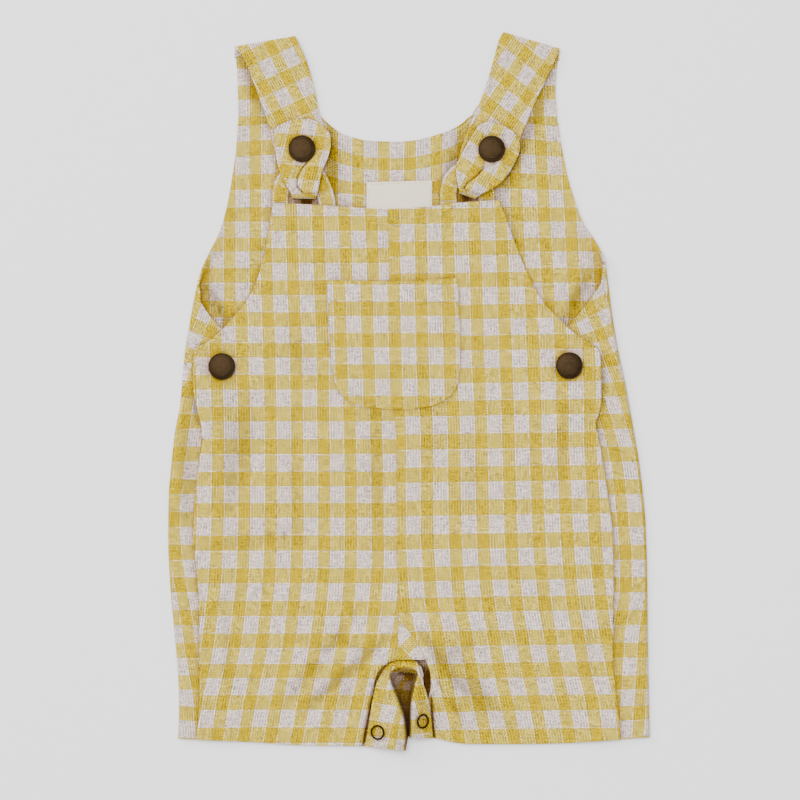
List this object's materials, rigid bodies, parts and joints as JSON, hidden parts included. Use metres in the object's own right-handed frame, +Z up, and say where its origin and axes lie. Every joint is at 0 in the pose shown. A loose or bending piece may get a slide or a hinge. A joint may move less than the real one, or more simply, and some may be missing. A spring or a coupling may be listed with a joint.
{
  "type": "baby's short dungarees",
  "caption": "Sleeveless short-legged baby dungarees in checked cotton, laid flat: bib with patch pocket, straps folded over and snapped through loops, snapped sides and inseam.",
  "frame": {"origin": "middle of the bottom of the garment's box, on the surface it lies on", "axes": "+Z up from the surface, +Y towards the straps, +X to the right of the picture, which is the wearer's left"},
  "size_m": [0.2698, 0.4026, 0.0141],
  "materials": {
    "gingham": "woven cotton gingham in yellow and off-white, matt, slightly slubby",
    "label_tape": "smooth ivory cotton tape, bare",
    "antique_brass": "dark antique brass, brushed, slightly domed"
  },
  "bodies": {
    "root": {"back": "gingham", "front_left": "gingham", "front_right": "gingham", "crotch_gusset": "gingham", "chest_pocket": "gingham", "strap_left": "gingham", "strap_right": "gingham", "strap_loop_left": "gingham", "strap_loop_right": "gingham", "inseam_placket": "gingham", "neck_label": "label_tape", "strap_snap_left": "antique_brass", "strap_snap_right": "antique_brass", "side_snap_left": "antique_brass", "side_snap_right": "antique_brass", "inseam_ring_left": "antique_brass", "inseam_ring_right": "antique_brass"}
  },
  "joints": []
}
